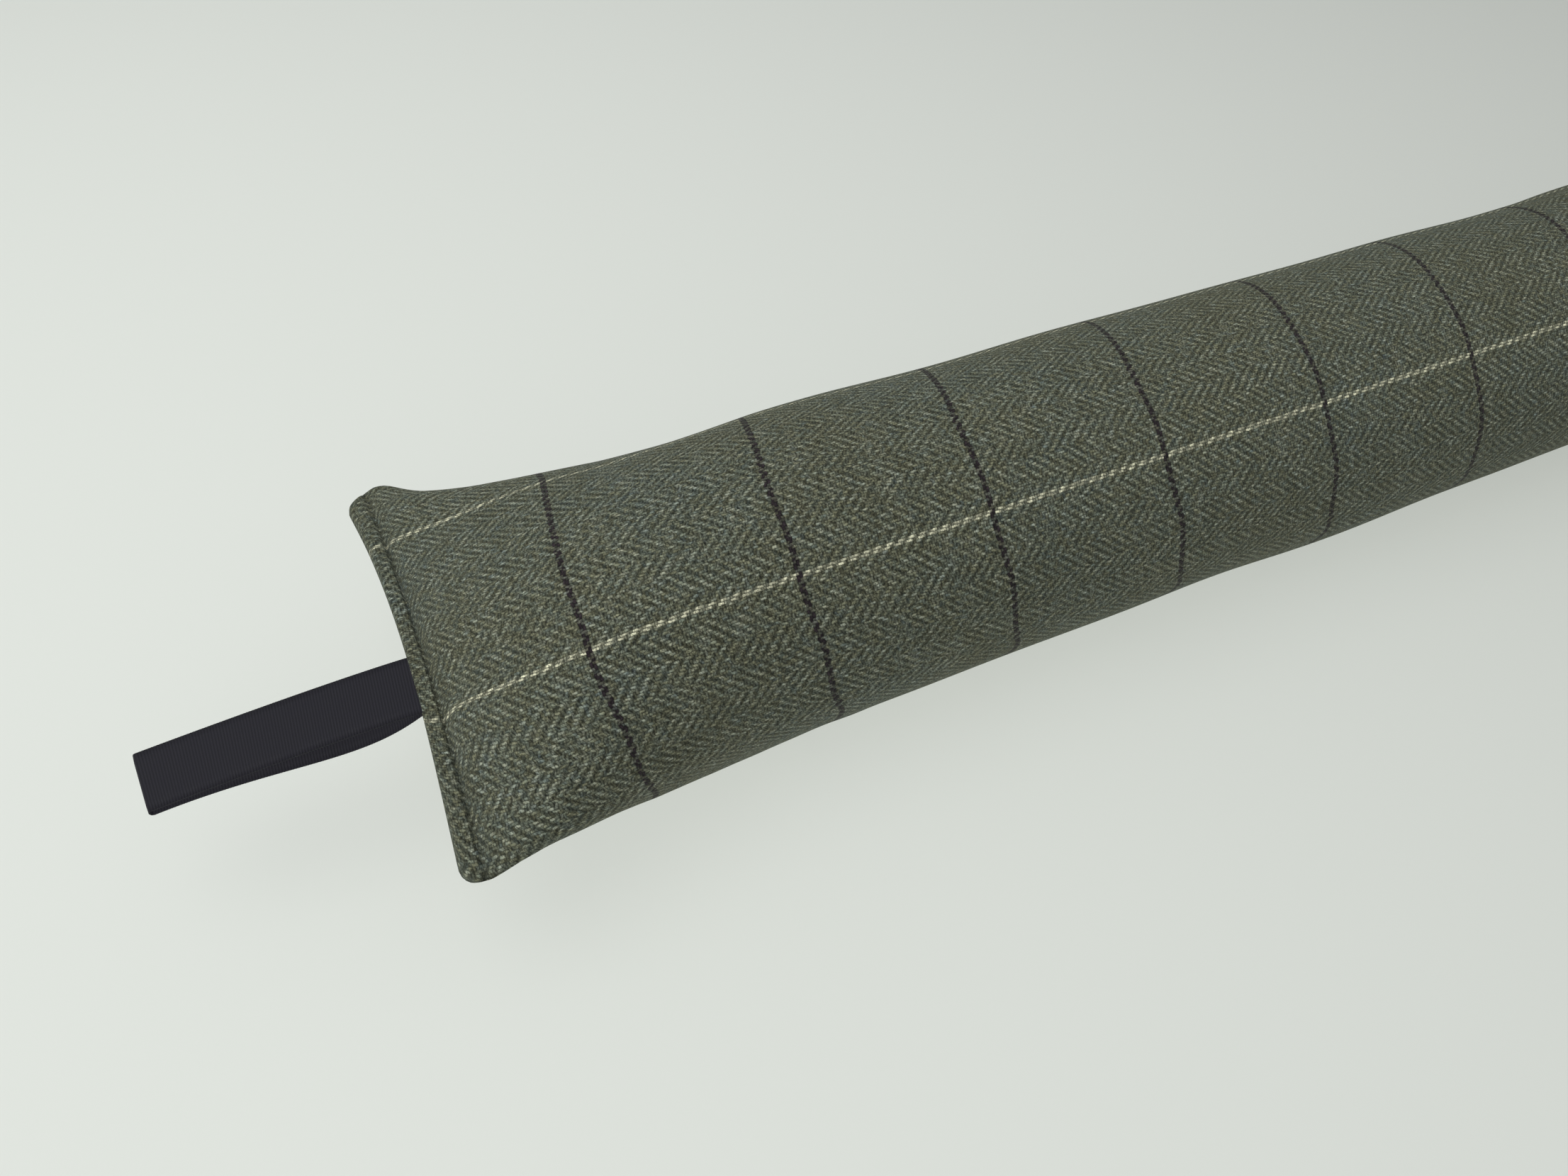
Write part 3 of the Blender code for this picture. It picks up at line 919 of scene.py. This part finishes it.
def yarn_colour(s, cloth, woven, chance):
    """The colour of the yarn on top: heather wool, some floats paler, or a check thread, with painted
    crest light.
    """
    colour = heather_colour(s, cloth, woven)
    # Paler floats at random, painted lighter towards their crests as a highlight
    colour = s.blend(s.times(s.spread(chance, *PALE_AND_HIGHLIGHT_RAMP), woven.height), colour, PALE_AND_HIGHLIGHT)
    # Painted shade on the cream ends: full cream on the crest, darker heather showing at the sides
    cream_painted_crest = s.spread(rounded(s, woven.in_end), *CREAM_SHADE_RAMP)
    colour = s.blend(s.times(woven.cream, cream_painted_crest), colour, CREAM)
    return s.blend(woven.dark, colour, DARK)


def fuzz(s, woven, layer):
    """One layer of the wool's fuzz, as noise measured in threads."""
    along, across = s.times(woven.along, layer.along), s.times(woven.across, layer.across)
    return s.noise(s.point(along, across, layer.start), *layer.noise).outputs["Fac"]


def painted_yarn_shade(s, woven, chance, fibre, grain):
    """How light the yarn on top is: painted crest highlight, painted shade between strands, tone from
    fuzz.
    """
    # Painted highlight on each float's crest, painted shade down its sides and between the strands
    crest = s.times(s.spread(woven.height, *CREST_RAMP), s.choose(woven.warp_up, 1.0, WEFT_CREST))
    soft = s.times(s.spread(fibre, *FIBRE.ramp), s.spread(grain, *GRAIN.ramp))
    shade = s.times(s.on_line(crest, CREST_PAINTED_LIGHT), soft)
    shade = s.times(shade, s.on_line(woven.strand, STRAND_PAINTED_SHADE))
    return s.times(shade, s.on_line(chance, CHANCE_LIGHT))


def painted_sewn_shade(s, cloth, shade):
    """The shade, with painted shade at the topstitched crease and lengthwise seam; a little darker on
    the turned edge.
    """
    edge = s.node("ShaderNodeAttribute", attribute_name="from_edge").outputs["Fac"]
    off_crease = s.math("ABSOLUTE", s.take(edge, FLANGE))
    around = s.node("ShaderNodeSeparateXYZ", cloth).outputs[1]
    off_seam = s.take(CLOTH_ROUND / 2, s.math("ABSOLUTE", around))
    for place, ramp in ((off_crease, CREASE_SHADE_RAMP), (edge, FLANGE_RAMP), (off_seam, SEAM_SHADE_RAMP)):
        shade = s.times(shade, s.spread(place, *ramp))
    return shade


def tweed_material():
    """Wool herringbone: heather yarns in relief, cream and dark check threads, soft fuzz."""
    s = Shading("tweed", TWEED_FINISH)
    cloth = s.node("ShaderNodeUVMap", uv_map="cloth").outputs[0]
    woven = weave(s, cloth)
    chance = float_chance(s, woven)
    fibre, grain = fuzz(s, woven, FIBRE), fuzz(s, woven, GRAIN)
    shade = painted_sewn_shade(s, cloth, painted_yarn_shade(s, woven, chance, fibre, grain))
    # The painted light and shade, with the random tone of floats and fuzz, multiplied into the yarn's
    # colour
    grey = s.node("ShaderNodeCombineColor", shade, shade, shade).outputs[0]
    colour = s.blend(1.0, yarn_colour(s, cloth, woven, chance), grey, "MULTIPLY")
    s.feed(s.shader.inputs["Base Color"], colour)
    s.feed(s.shader.inputs["Roughness"], s.spread(fibre, *TWEED_ROUGHNESS_RAMP))
    soft = s.add(s.times(fibre, FIBRE_RELIEF), grain)
    raised = s.add(s.times(woven.strand, STRAND_RELIEF), soft)
    s.bump(s.add(s.times(woven.height, HEIGHT_RELIEF), raised), TWEED_RELIEF, TWEED_BUMP)
    return s.material


def grosgrain_material():
    """Near-black ribbon: cross ribs in relief with painted shade in their valleys, a fine weave, worn
    patches.
    """
    s = Shading("grosgrain", RIBBON_FINISH)
    place = s.node("ShaderNodeUVMap", uv_map="ribbon").outputs[0]
    parts = s.node("ShaderNodeSeparateXYZ", place)
    rib, thread = (
        s.math("ABSOLUTE", s.math("SINE", s.times(parts.outputs[axis], math.pi / pitch)))
        for axis, pitch in ((0, RIB_PITCH), (1, RIBBON_THREAD_PITCH))
    )
    soft = s.noise(place, *RIBBON_NOISE).outputs["Fac"]
    # Painted shade: darker in the valleys between the ribs, paler on their crests
    colour = s.blend(rib, RIBBON_VALLEY_SHADE, RIBBON_CREST)
    colour = s.blend(s.times(soft, WORN_SHARE), colour, RIBBON_WORN)
    s.feed(s.shader.inputs["Base Color"], colour)
    s.feed(s.shader.inputs["Roughness"], s.spread(soft, *RIBBON_ROUGHNESS_RAMP))
    s.bump(s.add(rib, s.times(thread, RIBBON_THREAD_SHARE)), RIBBON_RELIEF, RIBBON_BUMP)
    return s.material


def thread_material():
    """Dark green sewing thread with its twist."""
    s = Shading("sewing_thread", THREAD_FINISH)
    place = s.node("ShaderNodeTexCoord").outputs["Object"]
    parts = s.node("ShaderNodeSeparateXYZ", place)
    twist = s.math("SINE", s.times(s.add(parts.outputs[1], parts.outputs[0]), THREAD_TWIST))
    soft = s.noise(place, *THREAD_NOISE).outputs["Fac"]
    s.feed(s.shader.inputs["Base Color"], s.blend(soft, THREAD_DARK, THREAD_LIGHT))
    s.bump(twist, THREAD_RELIEF, THREAD_BUMP)
    return s.material


def floor_material():
    """A plain, pale, matt surface."""
    return Shading("pale_floor", FLOOR_FINISH).material


def piece(name, data, material):
    """An object of the scene with its mesh and its material."""
    made = bpy.data.objects.new(name, data)
    made.data.materials.append(material)
    bpy.context.scene.collection.objects.link(made)
    return made


def make_camera():
    """The photograph's view: 28 mm on a full frame, close above the ribbon's end."""
    lens = bpy.data.cameras.new("camera")
    lens.sensor_fit = "HORIZONTAL"
    lens.sensor_width = SENSOR_WIDTH
    lens.lens = FOCAL_PIXELS / PHOTO_WIDTH * SENSOR_WIDTH
    lens.clip_start = NEAREST_SEEN
    made = bpy.data.objects.new("camera", lens)
    right, forward = Vector(CAMERA_RIGHT).normalized(), Vector(CAMERA_FORWARD).normalized()
    up = right.cross(forward)
    turn = Matrix((right, up, -forward)).transposed().to_4x4()
    made.matrix_world = Matrix.Translation(CAMERA_AT) @ turn
    bpy.context.scene.collection.objects.link(made)
    bpy.context.scene.camera = made


def area_light(lamp):
    """A square lamp at its place, turned to its aim."""
    light = bpy.data.lights.new(lamp.name, "AREA")
    light.shape = "RECTANGLE"
    light.size = lamp.size
    light.size_y = lamp.size
    light.energy = lamp.power
    light.color = DAYLIGHT
    light.use_shadow = lamp.shadows
    made = bpy.data.objects.new(lamp.name, light)
    made.location = lamp.place
    made.rotation_euler = (Vector(lamp.aim) - Vector(lamp.place)).to_track_quat("-Z", "Y").to_euler()
    bpy.context.scene.collection.objects.link(made)


def make_stage():
    """A wide pale floor, an overhead softbox, two fills that cast no shadow, an even surround."""
    mesh = bmesh.new()
    bmesh.ops.create_grid(mesh, x_segments=1, y_segments=1, size=FLOOR_REACH)
    data = bpy.data.meshes.new("floor")
    mesh.to_mesh(data)
    mesh.free()
    floor = piece("floor", data, floor_material())
    for lamp in LAMPS:
        area_light(lamp)
    world = bpy.data.worlds.new("surround")
    world.use_nodes = True
    surround = world.node_tree.nodes["Background"]
    surround.inputs["Color"].default_value = SURROUND_COLOUR
    surround.inputs["Strength"].default_value = SURROUND_STRENGTH
    bpy.context.scene.world = world
    bpy.context.scene.view_settings.view_transform = "Standard"


def main():
    """The dressed part on its stage."""
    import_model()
    rings = np.array([section(at) for at in stations()])
    rings = pressed_out(rings)
    casing = piece("tweed_casing", casing_mesh(rings), tweed_material())
    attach(casing, "root")
    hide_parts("casing")
    stitching = piece("topstitching", stitching_mesh(), thread_material())
    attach(stitching, "root")
    ribbon = piece("ribbon", ribbon_mesh(), grosgrain_material())
    at_ribbon_root(ribbon)
    bpy.context.view_layer.update()
    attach(ribbon, "root")
    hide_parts("ribbon_loop")
    make_stage()
    make_camera()
    bpy.context.view_layer.update()


main()
